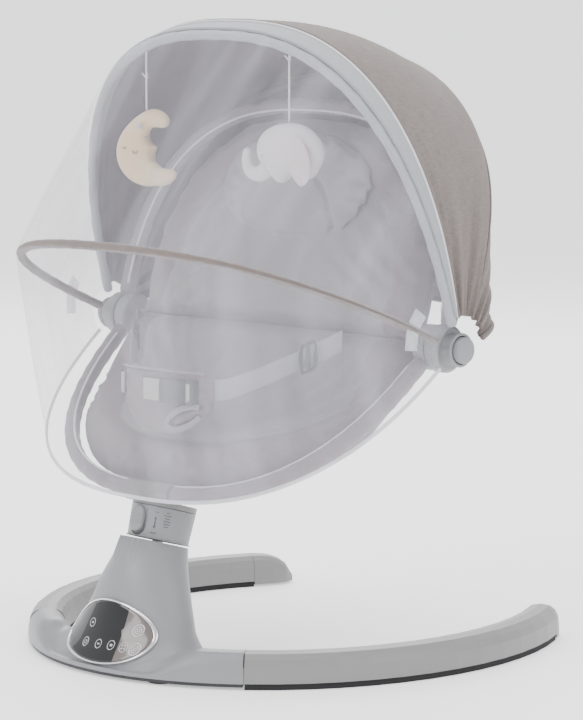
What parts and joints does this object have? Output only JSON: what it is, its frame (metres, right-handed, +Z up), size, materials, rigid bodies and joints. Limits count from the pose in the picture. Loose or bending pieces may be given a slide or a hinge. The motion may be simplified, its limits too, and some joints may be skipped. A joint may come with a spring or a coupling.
{
  "type": "baby swing",
  "caption": "Electric baby swing: C-shaped base with a control panel and leaning neck, swaying bucket seat, folding canopy, insect net and hanging toys.",
  "frame": {"origin": "on the floor under the middle of the object's bounding box", "axes": "+Z up; -Y is the front, where the control panel is; +X is the object's right half seen from behind the seat's child"},
  "size_m": [0.5596, 0.5097, 0.6791],
  "materials": {
    "shell_plastic": "satin moulded plastic",
    "leg_plastic": "satin moulded plastic",
    "dark_plastic": "matt",
    "buckle_plastic": "satin",
    "rubber": "matt",
    "steel": "satin",
    "chrome": "polished",
    "dark_glass": "gloss",
    "circuit_board": "matt",
    "copper": "wound wire",
    "seat_linen": "linen weave",
    "seat_liner": "soft jersey",
    "canopy_melange": "melange weave",
    "net_mesh": "open mesh",
    "webbing": "woven webbing",
    "plush_yellow": "plush",
    "plush_white": "plush"
  },
  "bodies": {
    "base": {"base_housing": "shell_plastic", "base_cover": "dark_plastic", "left_leg": "leg_plastic", "right_leg": "leg_plastic", "left_leg_cap": "leg_plastic", "right_leg_cap": "leg_plastic", "left_leg_tread": "rubber", "right_leg_tread": "rubber", "front_foot_left": "rubber", "front_foot_right": "rubber", "panel_bezel": "chrome", "panel_lens": "dark_glass", "control_board": "circuit_board", "speaker": "dark_plastic", "power_socket": "dark_plastic", "drive_coil": "copper", "pivot_bracket": "steel", "bearing_lower": "steel", "bearing_upper": "steel"},
    "swing": {"neck_shell": "shell_plastic", "sway_spindle": "steel", "drive_lever": "leg_plastic", "drive_magnet": "steel", "seat_bracket": "leg_plastic", "seat_front_tube": "steel", "hub_inner_left": "shell_plastic", "hub_inner_right": "shell_plastic", "hub_pin_left": "steel", "hub_pin_right": "steel", "seat_lower": "seat_linen", "crotch_pad": "seat_linen", "buckle": "buckle_plastic", "waist_strap_left": "webbing", "waist_strap_right": "webbing"},
    "mode_knob": {"mode_knob": "shell_plastic"},
    "backrest": {"backrest_tube": "steel", "hub_outer_left": "shell_plastic", "hub_outer_right": "shell_plastic", "seat_upper": "seat_liner", "head_pillow": "seat_liner", "canopy_rear_bow": "steel", "canopy_fabric": "canopy_melange"},
    "recline_button_left": {"recline_button_left": "shell_plastic"},
    "recline_button_right": {"recline_button_right": "shell_plastic"},
    "canopy": {"canopy_front_bow": "steel"},
    "net": {"net_bow": "canopy_melange", "net_upper": "net_mesh", "net_lower": "net_mesh"},
    "moon": {"moon_toy": "plush_yellow", "moon_cord": "webbing"},
    "elephant": {"elephant_toy": "plush_white", "elephant_cord": "webbing"}
  },
  "joints": [
    {"name": "seat_sway", "type": "hinge", "parent": "base", "child": "swing", "pos_m": [0, -0.1736, 0.0675], "axis": [0, 0.284, 0.9588], "range_deg": [-12, 12]},
    {"name": "mode_slide", "type": "slide", "parent": "swing", "child": "mode_knob", "axis": [0, 0.284, 0.9588], "range_m": [-0.005, 0.005]},
    {"name": "backrest_recline", "type": "hinge", "parent": "swing", "child": "backrest", "pos_m": [0, 0.0245, 0.339], "axis": [1, 0, 0], "range_deg": [-25, 0]},
    {"name": "button_left_press", "type": "slide", "parent": "backrest", "child": "recline_button_left", "axis": [1, 0, 0], "range_m": [0, 0.005], "stiffness_N_per_m": 400},
    {"name": "button_right_press", "type": "slide", "parent": "backrest", "child": "recline_button_right", "axis": [-1, 0, 0], "range_m": [0, 0.005], "stiffness_N_per_m": 400},
    {"name": "canopy_fold", "type": "hinge", "parent": "backrest", "child": "canopy", "pos_m": [0, 0.0245, 0.339], "axis": [1, 0, 0], "range_deg": [-18, 0], "deforming": ["canopy_fabric"]},
    {"name": "net_lift", "type": "hinge", "parent": "canopy", "child": "net", "pos_m": [0, 0.0245, 0.339], "axis": [1, 0, 0], "range_deg": [-30, 0], "deforming": ["net_upper", "net_lower"]},
    {"name": "moon_swing", "type": "hinge", "parent": "canopy", "child": "moon", "pos_m": [-0.108, -0.0661, 0.648], "axis": [1, 0, 0], "range_deg": [-10, 25]},
    {"name": "elephant_swing", "type": "hinge", "parent": "canopy", "child": "elephant", "pos_m": [0.108, -0.0661, 0.648], "axis": [1, 0, 0], "range_deg": [-10, 25]}
  ]
}
